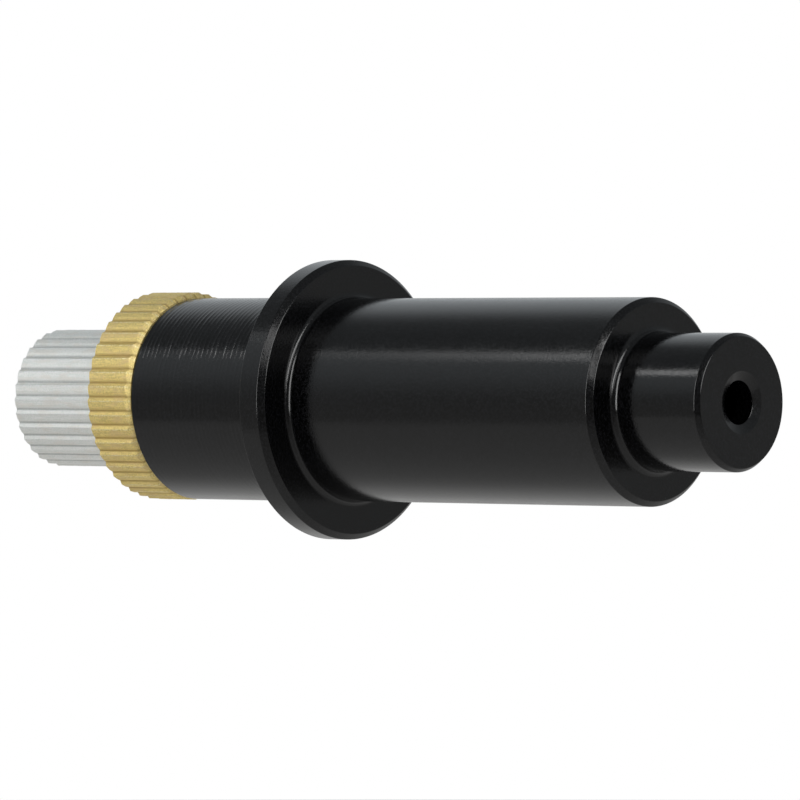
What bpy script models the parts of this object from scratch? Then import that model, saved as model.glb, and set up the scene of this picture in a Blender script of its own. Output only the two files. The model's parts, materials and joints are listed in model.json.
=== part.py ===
"""Laser collimator for a 1.25-inch telescope focuser.

A black turned body holds a brass laser cartridge. A knurled brass ring clamps the cartridge's collar
to the body, over three alignment screws, and a long knurled aluminium cap closes the battery tube and
switches the laser on. The optical axis is +X, towards the nose, and the origin is where that axis
crosses the flange's front face. Stations along X and radii are in millimetres.
"""

import math
from typing import NamedTuple

import bmesh
import bpy
from mathutils import Matrix, Vector

MM = 0.001

# Clearances, small chamfers, and how far a cutter reaches past what it cuts
GAP = 0.3
EDGE = 0.2
OVERSHOOT = 1.0

# Focuser barrel, flange and nose of the body
BARREL_RADIUS = 15.85
BARREL_END = 60.84
BARREL_CHAMFER = 0.83
FLANGE_RADIUS = 21.87
FLANGE_BACK = -4.5
FLANGE_CHAMFER = 0.9
NOSE_RADIUS = 10.46
NOSE_END = 77.22
NOSE_CHAMFER_DEPTH = 0.55
NOSE_CHAMFER_LENGTH = 0.77
FLANGE_FILLET = 1.1
NOSE_FILLET = 1.3
APERTURE_RADIUS = 3.3
COUNTERSINK_RADIUS = 4.75
COUNTERSINK_DEPTH = 0.6

# Rear of the body
REAR_RADIUS = 15.98
SHOULDER = -32.95
SPIGOT_RADIUS = 13.1
SPIGOT_END = -37.4

# Hollows of the body
BORE_RADIUS = 11.2
BORE_END = 57.5
NOSE_BORE_RADIUS = 6.5
NOSE_BORE_END = 73.5

# Knurls, which share one ratchet-like tooth: a crest, a land that falls away behind it, and a groove.
# Where the land bends and where the groove lies are shares of the pitch.
KNURL_DEPTH = 0.4
KNURL_BEND = 0.4
KNURL_BEND_DEPTH = 0.15
KNURL_GROOVE = 0.73
KNURL_FRONT_CHAMFER = 0.8
KNURL_BACK_CHAMFER = 0.12

# Lock ring, which sits a little above the body's axis on its loose thread
RING_LIFT = 0.45
RING_FRONT = SHOULDER - GAP
RING_BACK = -42.0
RING_RADIUS = 16.55
RING_TEETH = 45
RING_FIRST_CREST = math.radians(6.5)
RING_BORE_RADIUS = 14.0
RING_HOLE_RADIUS = 12.0
RING_LIP_FRONT = -40.1

# Laser cartridge
TUBE_RADIUS = 10.2
TUBE_FRONT = 50.5
TUBE_STEP = -38.9
TUBE_BORE_RADIUS = 8.4
BATTERY_STEP = -30.0
BATTERY_BORE_RADIUS = 7.0
TAIL_RADIUS = 8.4
TAIL_END = -54.0
COLLAR_RADIUS = 12.9
COLLAR_FRONT = SPIGOT_END - GAP
WASHER_FRONT = TUBE_STEP - GAP
WASHER_BACK = RING_LIP_FRONT + GAP
WASHER_RADIUS = 13.6
PIVOT = 47.2
PIVOT_CORD_RADIUS = 0.75
PIVOT_GROOVE_RADIUS = 9.1
CAP_SEAL = -41.8
CAP_SEAL_CORD_RADIUS = 0.5
CAP_SEAL_GROOVE_RADIUS = 7.6

# Tail cap
CAP_RADIUS = 11.05
CAP_TEETH = 30
CAP_FIRST_CREST = math.radians(1.0)
CAP_FRONT = -39.7
CAP_BACK = -63.35
CAP_SEAL_BORE_RADIUS = 9.3
CAP_SEAL_BORE_END = -44.0
CAP_BORE_RADIUS = 8.7
CAP_FLOOR = -59.9

# Alignment screws in the spigot
SCREW_STATION = -35.2
SCREW_RADIUS = 1.25
SCREW_TIP = 10.9
SCREW_HEAD = 12.95
SCREW_SOCKET_RADIUS = 0.72
SCREW_SOCKET_DEPTH = 1.1
SCREW_SOCKET_SIDES = 6
SCREW_ANGLES = (90, 210, 330)

# Optics and laser diode
HOLDER_FRONT = 50.0
HOLDER_BACK = 38.0
HOLDER_WALL = 1.6
HOLDER_POCKET_RADIUS = 4.4
HOLDER_HOLE_RADIUS = 2.5
HOLDER_MOUTH_RADIUS = 3.0
LENS_THICKNESS = 2.6
LENS_CROWN = 0.9
LENS_SPHERE = 7.0
LENS_SPRING_BACK = 40.2
LENS_SPRING_FRONT = 44.9
LENS_SPRING_RADIUS = 3.6
LENS_SPRING_TURNS = 3.5
MOUNT_BACK = 30.0
DIODE_FACE = 37.2
DIODE_STEP = 34.3
DIODE_BACK = 33.1
DIODE_RADIUS = 2.8
DIODE_CAN_RADIUS = 1.8
PIN_RADIUS = 0.23
PIN_CIRCLE_RADIUS = 1.27
PIN_ANGLES = (90, 210, 330)

# Driver board, with the pieces that stand on it
BOARD_FRONT = 27.0
BOARD_BACK = 1.0
BOARD_WIDTH = 14.0
BOARD_THICKNESS = 1.2
BOARD_FACE = BOARD_THICKNESS / 2 + GAP
BLOCK_CHAMFER = 0.15
CHIP_STATION = 19.0
CHIP_SIZE = (5.0, 4.0, 1.6)
TRIMMER_SIZE = (3.6, 3.6, 1.8)
TRIMMER_SLOT_SIZE = (2.4, 0.5, 1.0)
TRIMMER_SLOT_CHAMFER = 0.05
CAPACITOR_BACK = 7.0
CAPACITOR_LENGTH = 5.5
CAPACITOR_RADIUS = 2.0
LEAD_RADIUS = 0.4
LEAD_OFFSET = 3.0
LEAD_BEND_FRONT = -8.0
LEAD_BEND_BACK = -16.0
POSITIVE_LEAD_RISE = 4.0
NEGATIVE_LEAD_OFFSET = 6.5
NEGATIVE_LEAD_DROP = 2.0

# Battery bay and contacts
INSULATOR_FRONT = -27.2
INSULATOR_BACK = -33.0
INSULATOR_HOLE_RADIUS = 1.5
RIVET_HEAD_RADIUS = 2.8
RIVET_HEAD_LENGTH = 0.6
RIVET_END = INSULATOR_FRONT + 0.4
CONTACT_WIRE_RADIUS = 0.25
CONTACT_SPRING_BACK = -37.0
CONTACT_SPRING_FRONT = -34.5
CONTACT_SPRING_RADIUS = 2.2
CONTACT_SPRING_TURNS = 3
CAP_CONTACT_THICKNESS = 0.6
CAP_SPRING_BACK = -58.4
CAP_SPRING_FRONT = -55.4
CAP_SPRING_RADIUS = 4.0
CAP_SPRING_WIRE_RADIUS = 0.3
CAP_SPRING_TURNS = 3.5

# Button cells
CELL_RADIUS = 5.8
CELL_LENGTH = 5.4
CELL_FRONT = -37.6
CELL_COUNT = 3
CELL_RIM_STEP = 0.7

# Number of flats that stand for a round surface, of points in a turn, and how an axis is shown
BODY_SEGMENTS = 56
TUBE_SEGMENTS = 40
SMALL_SEGMENTS = 32
PIN_SEGMENTS = 12
CORD_SIDES = 8
COIL_STEPS = 16
FILLET_STEPS = 3
CROWN_STEPS = 3
LEAD_STEPS = 24
SMOOTH_ANGLE = math.radians(30)
AXIS_SIZE = 10.0


def clear_scene():
    for existing in list(bpy.data.objects):
        bpy.data.objects.remove(existing, do_unlink=True)


def material(name, colour, roughness, metallic):
    made = bpy.data.materials.new(name)
    made.use_nodes = True
    shader = made.node_tree.nodes["Principled BSDF"]
    shader.inputs["Base Color"].default_value = (*colour, 1.0)
    shader.inputs["Roughness"].default_value = roughness
    shader.inputs["Metallic"].default_value = metallic
    made.diffuse_color = (*colour, 1.0)
    return made


def metal(name, colour, roughness):
    return material(name, colour, roughness, 1.0)


def plastic(name, colour, roughness):
    return material(name, colour, roughness, 0.0)


# Shapes


def link(name, data, place):
    """An object at a place in millimetres."""
    made = bpy.data.objects.new(name, data)
    made.location = Vector(place) * MM
    bpy.context.collection.objects.link(made)
    return made


def finish(bm, name, look, origin, smooth=True):
    """Makes the object of a mesh whose points are in world millimetres, with its own origin."""
    bmesh.ops.recalc_face_normals(bm, faces=bm.faces)
    bmesh.ops.translate(bm, verts=bm.verts, vec=-Vector(origin))
    bmesh.ops.scale(bm, verts=bm.verts, vec=(MM, MM, MM))
    mesh = bpy.data.meshes.new(name)
    bm.to_mesh(mesh)
    bm.free()
    mesh.materials.append(look)
    if smooth:
        mesh.shade_smooth()
        mesh.set_sharp_from_angle(angle=SMOOTH_ANGLE)
    return link(name, mesh, origin)


def on_circle(x, radius, angle, lift=0.0):
    return Vector((x, radius * math.cos(angle), radius * math.sin(angle) + lift))


def circle(x, radius, count, lift=0.0):
    return [on_circle(x, radius, 2 * math.pi * step / count, lift) for step in range(count)]


def arc(centre_x, centre_r, radius, start, end, steps):
    """Points of a profile along an arc, with angles in degrees from +X towards larger radii."""
    angles = [math.radians(start + (end - start) * step / steps) for step in range(steps + 1)]
    return [(centre_x + radius * math.cos(a), centre_r + radius * math.sin(a)) for a in angles]


def skin(loops, through):
    """A mesh over loops of points: joined end to end where a hole goes through, or with flat ends."""
    bm = bmesh.new()
    rings = [[bm.verts.new(point) for point in loop] for loop in loops]
    pairs = list(zip(rings, rings[1:]))
    if through:
        pairs.append((rings[-1], rings[0]))
    else:
        bm.faces.new(rings[0])
        bm.faces.new(rings[-1])
    for near, far in pairs:
        for here in range(len(near)):
            after = (here + 1) % len(near)
            bm.faces.new((near[here], near[after], far[after], far[here]))
    return bm


def turned(name, profile, look, segments=SMALL_SEGMENTS, through=False, lift=0.0):
    """A piece turned about the X axis from a profile of (station, radius) points."""
    loops = [circle(x, radius, segments, lift) for x, radius in profile]
    return finish(skin(loops, through), name, look, (profile[0][0], 0, lift))


def tube(name, back, front, inner, outer, look, segments=SMALL_SEGMENTS, lift=0.0):
    profile = [(front, inner), (front, outer), (back, outer), (back, inner)]
    return turned(name, profile, look, segments, through=True, lift=lift)


def o_ring(name, x, groove_radius, cord, look, segments):
    """A round rubber cord that stands clear of the floor of its groove."""
    last = 360 * (CORD_SIDES - 1) / CORD_SIDES
    profile = arc(x, groove_radius + GAP + cord, cord, 0, last, CORD_SIDES - 1)
    return turned(name, profile, look, segments, through=True)


class Knurl(NamedTuple):
    """A straight knurl about the X axis: its teeth, one crest's angle, the crests' radius and its height."""

    teeth: int
    first_crest: float
    crest: float
    lift: float = 0.0


def knurl_points(knurl):
    """Angle and radius of each point round a knurl: crest, bend in the land, then groove."""
    pitch = 2 * math.pi / knurl.teeth
    for tooth in range(knurl.teeth):
        crest = knurl.first_crest + tooth * pitch
        yield crest, knurl.crest
        yield crest + KNURL_BEND * pitch, knurl.crest - KNURL_BEND_DEPTH
        yield crest + KNURL_GROOVE * pitch, knurl.crest - KNURL_DEPTH


def plain_loop(knurl, x, radius):
    """A circle with one point for each point of the knurl."""
    return [on_circle(x, radius, angle, knurl.lift) for angle, _ in knurl_points(knurl)]


def front_chamfer(knurl, face_x):
    """A turned 45-degree chamfer: its edge on the front face, and where it meets crests and grooves."""
    face_radius = knurl.crest - KNURL_FRONT_CHAMFER
    meeting = [
        on_circle(face_x - (radius - face_radius), radius, angle, knurl.lift)
        for angle, radius in knurl_points(knurl)
    ]
    return [plain_loop(knurl, face_x, face_radius), meeting]


def back_chamfer(knurl, face_x):
    """A small chamfer that follows the teeth round the back face."""
    points = list(knurl_points(knurl))
    return [
        [on_circle(face_x + KNURL_BACK_CHAMFER, radius, angle, knurl.lift) for angle, radius in points],
        [on_circle(face_x, radius - KNURL_BACK_CHAMFER, angle, knurl.lift) for angle, radius in points],
    ]


def wire(name, points, radius, look):
    """A round wire along points in millimetres, with filled ends. Its origin is at its first point."""
    curve = bpy.data.curves.new(name, "CURVE")
    curve.dimensions = "3D"
    curve.bevel_depth = radius * MM
    curve.bevel_resolution = 1
    curve.use_fill_caps = True
    spline = curve.splines.new("POLY")
    spline.points.add(len(points) - 1)
    for spline_point, point in zip(spline.points, points):
        spline_point.co = ((point - points[0]) * MM).to_4d()
    curve.materials.append(look)
    return link(name, curve, points[0])


def coil(name, back, front, radius, wire_radius, turns, look):
    """A compression spring along X."""
    steps = round(COIL_STEPS * turns)
    shares = [step / steps for step in range(steps + 1)]
    points = [on_circle(front + (back - front) * s, radius, 2 * math.pi * turns * s) for s in shares]
    return wire(name, points, wire_radius, look)


def lead(name, ends, look):
    """An insulated wire on a Bezier curve: its start, the two points that pull it, and its end."""
    start, pull_start, pull_end, end = [Vector(point) for point in ends]
    points = []
    for step in range(LEAD_STEPS + 1):
        t = step / LEAD_STEPS
        near = start * (1 - t) ** 3 + pull_start * 3 * t * (1 - t) ** 2
        far = pull_end * 3 * t**2 * (1 - t) + end * t**3
        points.append(near + far)
    return wire(name, points, LEAD_RADIUS, look)


def block(name, centre, size, look, chamfer=BLOCK_CHAMFER):
    bm = bmesh.new()
    bmesh.ops.create_cube(bm, size=1.0)
    bmesh.ops.scale(bm, verts=bm.verts, vec=size)
    bmesh.ops.translate(bm, verts=bm.verts, vec=centre)
    bmesh.ops.bevel(bm, geom=bm.edges[:], offset=chamfer, segments=1, affect="EDGES")
    return finish(bm, name, look, centre, smooth=False)


def combine(piece, helper, operation):
    """Cuts the helper from the piece (DIFFERENCE) or makes the two one solid (UNION)."""
    helper.hide_render = True
    helper.display_type = "WIRE"
    modifier = piece.modifiers.new(helper.name, "BOOLEAN")
    modifier.operation = operation
    modifier.object = helper


def point_outwards(piece, degrees):
    """Turns a piece made along X so that its +X points out from the body, at an angle round it."""
    to_side = Matrix.Rotation(math.pi / 2, 3, "Z")
    round_body = Matrix.Rotation(math.radians(degrees), 3, "X")
    piece.rotation_euler = (round_body @ to_side).to_euler()


def axis_empty(name, place, pieces):
    """An empty on a joint's axis, which carries the pieces that the joint moves."""
    empty = link(name, None, place)
    empty.empty_display_size = AXIS_SIZE * MM
    for piece in pieces:
        piece.parent = empty
        piece.matrix_parent_inverse = Matrix.Translation(-empty.location)
    return empty


# Body and its alignment screws


def root_fillet(x, radius, fillet):
    """The curve from a forward face down to the smaller cylinder in front of it."""
    return arc(x + fillet, radius + fillet, fillet, 180, 270, FILLET_STEPS)


def main_body():
    outside = [
        (0, FLANGE_RADIUS - FLANGE_CHAMFER),
        *root_fillet(0, BARREL_RADIUS, FLANGE_FILLET),
        (BARREL_END - BARREL_CHAMFER, BARREL_RADIUS),
        (BARREL_END, BARREL_RADIUS - BARREL_CHAMFER),
        *root_fillet(BARREL_END, NOSE_RADIUS, NOSE_FILLET),
        (NOSE_END - NOSE_CHAMFER_LENGTH, NOSE_RADIUS),
        (NOSE_END, NOSE_RADIUS - NOSE_CHAMFER_DEPTH),
    ]
    inside = [
        (NOSE_END, COUNTERSINK_RADIUS),
        (NOSE_END - COUNTERSINK_DEPTH, APERTURE_RADIUS),
        (NOSE_BORE_END, APERTURE_RADIUS),
        (NOSE_BORE_END, NOSE_BORE_RADIUS),
        (BORE_END, NOSE_BORE_RADIUS),
        (BORE_END, BORE_RADIUS),
        (SPIGOT_END, BORE_RADIUS),
    ]
    rear = [
        (SPIGOT_END, SPIGOT_RADIUS - EDGE),
        (SPIGOT_END + EDGE, SPIGOT_RADIUS),
        (SHOULDER, SPIGOT_RADIUS),
        (SHOULDER, REAR_RADIUS - EDGE),
        (SHOULDER + EDGE, REAR_RADIUS),
        (FLANGE_BACK, REAR_RADIUS),
        (FLANGE_BACK, FLANGE_RADIUS - EDGE),
        (FLANGE_BACK + EDGE, FLANGE_RADIUS),
        (-FLANGE_CHAMFER, FLANGE_RADIUS),
    ]
    look = plastic("black_anodised", (0.012, 0.012, 0.014), 0.18)
    made = turned("main_body", outside + inside + rear, look, BODY_SEGMENTS, through=True)
    hole_radius = SCREW_RADIUS + GAP
    for number, degrees in enumerate(SCREW_ANGLES, start=1):
        profile = [(SPIGOT_RADIUS + OVERSHOOT, hole_radius), (BORE_RADIUS - OVERSHOOT, hole_radius)]
        hole = turned(f"screw_hole_{number}", profile, look, PIN_SEGMENTS)
        aim_from_axis(hole, SPIGOT_RADIUS + OVERSHOOT, degrees)
        combine(made, hole, "DIFFERENCE")
    return made


def aim_from_axis(piece, radius, degrees):
    """Places a piece's origin at a radius in the alignment screws' plane, with its +X pointing out."""
    piece.location = on_circle(SCREW_STATION, radius, math.radians(degrees)) * MM
    point_outwards(piece, degrees)


def alignment_screw(number, degrees):
    corners = circle(SCREW_HEAD, SCREW_SOCKET_RADIUS, SCREW_SOCKET_SIDES)
    mouth = [point for a, b in zip(corners, corners[1:] + corners[:1]) for point in (a, (a + b) / 2)]
    loops = [
        circle(SCREW_TIP, SCREW_RADIUS - EDGE, PIN_SEGMENTS),
        circle(SCREW_TIP + EDGE, SCREW_RADIUS, PIN_SEGMENTS),
        circle(SCREW_HEAD - EDGE, SCREW_RADIUS, PIN_SEGMENTS),
        circle(SCREW_HEAD, SCREW_RADIUS - EDGE, PIN_SEGMENTS),
        mouth,
        [point - Vector((SCREW_SOCKET_DEPTH, 0, 0)) for point in mouth],
    ]
    name = f"alignment_screw_{number}"
    look = metal(f"screw_steel_{number}", (0.25, 0.25, 0.26), 0.35)
    made = finish(skin(loops, through=False), name, look, (SCREW_TIP, 0, 0))
    aim_from_axis(made, SCREW_TIP, degrees)
    return made


# Lock ring and its washer


def lock_ring():
    knurl = Knurl(RING_TEETH, RING_FIRST_CREST, RING_RADIUS, RING_LIFT)
    loops = [
        plain_loop(knurl, RING_FRONT, RING_BORE_RADIUS),
        *front_chamfer(knurl, RING_FRONT),
        *back_chamfer(knurl, RING_BACK),
        plain_loop(knurl, RING_BACK, RING_HOLE_RADIUS),
        plain_loop(knurl, RING_LIP_FRONT, RING_HOLE_RADIUS),
        plain_loop(knurl, RING_LIP_FRONT, RING_BORE_RADIUS),
    ]
    look = metal("knurled_brass", (0.72, 0.53, 0.23), 0.45)
    return finish(skin(loops, through=True), "lock_ring", look, (RING_FRONT, 0, RING_LIFT))


def thrust_washer():
    look = plastic("white_nylon", (0.75, 0.74, 0.7), 0.5)
    inner = RING_HOLE_RADIUS
    return tube(
        "thrust_washer", WASHER_BACK, WASHER_FRONT, inner, WASHER_RADIUS, look, TUBE_SEGMENTS, RING_LIFT
    )


# Tail cap and its contact


def tail_cap():
    knurl = Knurl(CAP_TEETH, CAP_FIRST_CREST, CAP_RADIUS)
    loops = [
        plain_loop(knurl, CAP_FLOOR, CAP_BORE_RADIUS),
        plain_loop(knurl, CAP_SEAL_BORE_END, CAP_BORE_RADIUS),
        plain_loop(knurl, CAP_SEAL_BORE_END, CAP_SEAL_BORE_RADIUS),
        plain_loop(knurl, CAP_FRONT, CAP_SEAL_BORE_RADIUS),
        *front_chamfer(knurl, CAP_FRONT),
        *back_chamfer(knurl, CAP_BACK),
    ]
    look = metal("knurled_aluminium", (0.75, 0.75, 0.74), 0.5)
    return finish(skin(loops, through=False), "tail_cap", look, (CAP_BACK, 0, 0))


def cap_contact():
    radius = CAP_BORE_RADIUS - GAP
    back = CAP_FLOOR + GAP
    look = metal("cap_contact_brass", (0.6, 0.44, 0.2), 0.4)
    return turned("cap_contact", [(back, radius), (back + CAP_CONTACT_THICKNESS, radius)], look)


def cap_spring():
    look = metal("cap_spring_steel", (0.5, 0.5, 0.52), 0.3)
    size = (CAP_SPRING_BACK, CAP_SPRING_FRONT, CAP_SPRING_RADIUS, CAP_SPRING_WIRE_RADIUS)
    return coil("cap_spring", *size, CAP_SPRING_TURNS, look)


# Cartridge shell


def groove(station, half_width, floor_radius, outer_radius):
    """An O-ring groove in a tube's profile, from its front to its back."""
    return [
        (station + half_width, outer_radius),
        (station + half_width, floor_radius),
        (station - half_width, floor_radius),
        (station - half_width, outer_radius),
    ]


def cartridge_tube():
    profile = [
        (TUBE_FRONT, TUBE_BORE_RADIUS),
        (TUBE_FRONT, TUBE_RADIUS - EDGE),
        (TUBE_FRONT - EDGE, TUBE_RADIUS),
        *groove(PIVOT, PIVOT_CORD_RADIUS + GAP, PIVOT_GROOVE_RADIUS, TUBE_RADIUS),
        (TUBE_STEP, TUBE_RADIUS),
        (TUBE_STEP, TAIL_RADIUS),
        *groove(CAP_SEAL, CAP_SEAL_CORD_RADIUS + GAP, CAP_SEAL_GROOVE_RADIUS, TAIL_RADIUS),
        (TAIL_END + EDGE, TAIL_RADIUS),
        (TAIL_END, TAIL_RADIUS - EDGE),
        (TAIL_END, BATTERY_BORE_RADIUS),
        (BATTERY_STEP, BATTERY_BORE_RADIUS),
        (BATTERY_STEP, TUBE_BORE_RADIUS),
    ]
    look = metal("cartridge_brass", (0.55, 0.42, 0.2), 0.4)
    return turned("cartridge_tube", profile, look, TUBE_SEGMENTS, through=True)


def cartridge_collar():
    look = metal("collar_aluminium", (0.6, 0.6, 0.62), 0.35)
    inner = TUBE_RADIUS + GAP
    return tube("cartridge_collar", TUBE_STEP, COLLAR_FRONT, inner, COLLAR_RADIUS, look, TUBE_SEGMENTS)


def pivot_o_ring():
    look = plastic("pivot_rubber", (0.015, 0.015, 0.015), 0.7)
    return o_ring("pivot_o_ring", PIVOT, PIVOT_GROOVE_RADIUS, PIVOT_CORD_RADIUS, look, TUBE_SEGMENTS)


def cap_seal():
    look = plastic("seal_rubber", (0.015, 0.015, 0.015), 0.7)
    return o_ring("cap_seal", CAP_SEAL, CAP_SEAL_GROOVE_RADIUS, CAP_SEAL_CORD_RADIUS, look, SMALL_SEGMENTS)


# Optics and laser diode


def lens_holder():
    wall = HOLDER_FRONT - HOLDER_WALL
    outer = TUBE_BORE_RADIUS - GAP
    profile = [
        (HOLDER_BACK, HOLDER_POCKET_RADIUS),
        (wall, HOLDER_POCKET_RADIUS),
        (wall, HOLDER_HOLE_RADIUS),
        (HOLDER_FRONT, HOLDER_MOUTH_RADIUS),
        (HOLDER_FRONT, outer),
        (HOLDER_BACK, outer),
    ]
    return turned("lens_holder", profile, metal("holder_brass", (0.6, 0.45, 0.2), 0.3), through=True)


def collimating_lens():
    """A plano-convex lens, with its crown facing the beam hole."""
    rim = HOLDER_POCKET_RADIUS - GAP
    front = HOLDER_FRONT - HOLDER_WALL - GAP
    centre = front - LENS_CROWN - math.sqrt(LENS_SPHERE**2 - rim**2)
    rim_angle = math.degrees(math.asin(rim / LENS_SPHERE))
    crown = arc(centre, 0, LENS_SPHERE, rim_angle, rim_angle / (CROWN_STEPS + 1), CROWN_STEPS)
    look = plastic("lens_glass", (0.85, 0.92, 0.95), 0.02)
    return turned("collimating_lens", [(front - LENS_THICKNESS, rim), *crown], look)


def lens_spring():
    look = metal("lens_spring_steel", (0.5, 0.5, 0.52), 0.3)
    size = (LENS_SPRING_BACK, LENS_SPRING_FRONT, LENS_SPRING_RADIUS, CONTACT_WIRE_RADIUS)
    return coil("lens_spring", *size, LENS_SPRING_TURNS, look)


def diode_mount():
    look = metal("mount_brass", (0.6, 0.45, 0.2), 0.4)
    front = HOLDER_BACK - GAP
    return tube("diode_mount", MOUNT_BACK, front, DIODE_RADIUS + GAP, TUBE_BORE_RADIUS - GAP, look)


def laser_diode():
    """The diode's can and base, and three pins that reach back to the driver board."""
    profile = [
        (DIODE_BACK, DIODE_RADIUS),
        (DIODE_STEP, DIODE_RADIUS),
        (DIODE_STEP, DIODE_CAN_RADIUS),
        (DIODE_FACE, DIODE_CAN_RADIUS),
    ]
    look = metal("diode_gold", (0.7, 0.55, 0.25), 0.3)
    made = turned("laser_diode", profile, look, PIN_SEGMENTS * 2)
    for number, degrees in enumerate(PIN_ANGLES, start=1):
        reach = [(BOARD_FRONT + GAP, PIN_RADIUS), (DIODE_BACK + EDGE, PIN_RADIUS)]
        pin = turned(f"diode_pin_{number}", reach, look, PIN_SEGMENTS)
        pin.location = on_circle(reach[0][0], PIN_CIRCLE_RADIUS, math.radians(degrees)) * MM
        combine(made, pin, "UNION")
    return made


# Driver board


def driver_board():
    centre = ((BOARD_FRONT + BOARD_BACK) / 2, 0, 0)
    size = (BOARD_FRONT - BOARD_BACK, BOARD_WIDTH, BOARD_THICKNESS)
    return block("driver_board", centre, size, plastic("board_green", (0.02, 0.2, 0.06), 0.5))


def driver_chip():
    centre = (CHIP_STATION, 0, BOARD_FACE + CHIP_SIZE[2] / 2)
    return block("driver_chip", centre, CHIP_SIZE, plastic("chip_black", (0.02, 0.02, 0.02), 0.6))


def board_capacitor():
    look = plastic("capacitor_sleeve", (0.03, 0.05, 0.25), 0.4)
    front = CAPACITOR_BACK + CAPACITOR_LENGTH
    profile = [(CAPACITOR_BACK, CAPACITOR_RADIUS), (front, CAPACITOR_RADIUS)]
    return turned("board_capacitor", profile, look, PIN_SEGMENTS * 2, lift=BOARD_FACE + CAPACITOR_RADIUS)


def power_trimmer():
    look = plastic("trimmer_blue", (0.05, 0.2, 0.5), 0.5)
    height = TRIMMER_SIZE[2]
    made = block("power_trimmer", (CHIP_STATION, 0, -BOARD_FACE - height / 2), TRIMMER_SIZE, look)
    slot_centre = (CHIP_STATION, 0, -BOARD_FACE - height)
    slot = block("trimmer_slot", slot_centre, TRIMMER_SLOT_SIZE, look, TRIMMER_SLOT_CHAMFER)
    combine(made, slot, "DIFFERENCE")
    return made


def positive_lead():
    start = (BOARD_BACK - GAP, LEAD_OFFSET, 0)
    end = (RIVET_END + GAP, 0, 0)
    bend = [(LEAD_BEND_FRONT, LEAD_OFFSET, 0), (LEAD_BEND_BACK, 0, POSITIVE_LEAD_RISE)]
    return lead("positive_lead", [start, *bend, end], plastic("lead_red", (0.5, 0.02, 0.02), 0.5))


def negative_lead():
    start = (BOARD_BACK - GAP, -LEAD_OFFSET, 0)
    end = (INSULATOR_FRONT + GAP, -NEGATIVE_LEAD_OFFSET, 0)
    bend = [
        (LEAD_BEND_FRONT, -LEAD_OFFSET, 0),
        (LEAD_BEND_BACK, -NEGATIVE_LEAD_OFFSET, -NEGATIVE_LEAD_DROP),
    ]
    return lead("negative_lead", [start, *bend, end], plastic("lead_black", (0.02, 0.02, 0.02), 0.5))


# Battery bay


def contact_insulator():
    flange_back = BATTERY_STEP + GAP
    profile = [
        (INSULATOR_FRONT, INSULATOR_HOLE_RADIUS),
        (INSULATOR_FRONT, TUBE_BORE_RADIUS - GAP),
        (flange_back, TUBE_BORE_RADIUS - GAP),
        (flange_back, BATTERY_BORE_RADIUS - GAP),
        (INSULATOR_BACK, BATTERY_BORE_RADIUS - GAP),
        (INSULATOR_BACK, INSULATOR_HOLE_RADIUS),
    ]
    look = plastic("insulator_plastic", (0.6, 0.58, 0.5), 0.5)
    return turned("contact_insulator", profile, look, through=True)


def contact_rivet():
    shank = INSULATOR_HOLE_RADIUS - GAP
    head_front = INSULATOR_BACK - GAP
    profile = [
        (head_front - RIVET_HEAD_LENGTH, RIVET_HEAD_RADIUS),
        (head_front, RIVET_HEAD_RADIUS),
        (head_front, shank),
        (RIVET_END, shank),
    ]
    return turned("contact_rivet", profile, metal("rivet_brass", (0.6, 0.45, 0.2), 0.35), PIN_SEGMENTS * 2)


def front_contact_spring():
    look = metal("contact_spring_steel", (0.5, 0.5, 0.52), 0.3)
    size = (CONTACT_SPRING_BACK, CONTACT_SPRING_FRONT, CONTACT_SPRING_RADIUS, CONTACT_WIRE_RADIUS)
    return coil("front_contact_spring", *size, CONTACT_SPRING_TURNS, look)


def battery_sleeve():
    look = plastic("sleeve_card", (0.6, 0.5, 0.35), 0.8)
    front = INSULATOR_BACK - GAP
    return tube("battery_sleeve", TAIL_END + GAP, front, CELL_RADIUS + GAP, BATTERY_BORE_RADIUS - GAP, look)


def button_cell(number):
    front = CELL_FRONT - (number - 1) * (CELL_LENGTH + GAP)
    back = front - CELL_LENGTH
    profile = [
        (front, CELL_RADIUS - EDGE),
        (front - EDGE, CELL_RADIUS),
        (back + CELL_RIM_STEP, CELL_RADIUS),
        (back + EDGE, CELL_RADIUS - CELL_RIM_STEP),
        (back, CELL_RADIUS - CELL_RIM_STEP - EDGE),
    ]
    look = metal(f"cell_steel_{number}", (0.62, 0.62, 0.62), 0.3)
    return turned(f"button_cell_{number}", profile, look)


def main():
    clear_scene()
    main_body()
    for number, degrees in enumerate(SCREW_ANGLES, start=1):
        alignment_screw(number, degrees)
    axis_empty("ring_axis", (RING_FRONT, 0, RING_LIFT), [lock_ring(), thrust_washer()])
    cap_axis = axis_empty("cap_axis", (CAP_BACK, 0, 0), [tail_cap(), cap_contact(), cap_spring()])
    shell = [cartridge_tube(), cartridge_collar(), pivot_o_ring(), cap_seal()]
    optics = [lens_holder(), collimating_lens(), lens_spring(), diode_mount(), laser_diode()]
    electronics = [driver_board(), driver_chip(), board_capacitor(), power_trimmer()]
    wiring = [positive_lead(), negative_lead(), contact_insulator(), contact_rivet(), front_contact_spring()]
    battery = [battery_sleeve(), *[button_cell(number) for number in range(1, CELL_COUNT + 1)]]
    axis_empty("cartridge_pivot", (PIVOT, 0, 0), [*shell, *optics, *electronics, *wiring, *battery, cap_axis])


main()
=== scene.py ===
"""Looks of the laser collimator: fine turned and knurled pieces, procedural metals, a studio and a camera.

Stations along X, radii and sizes are in millimetres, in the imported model's frame: +X runs along the optical
axis towards the nose, +Z is up, and the origin is where the axis crosses the flange's front face.
"""

import json
import math
from typing import NamedTuple

import bmesh
import bpy
from mathutils import Matrix, Vector, noise


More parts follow.
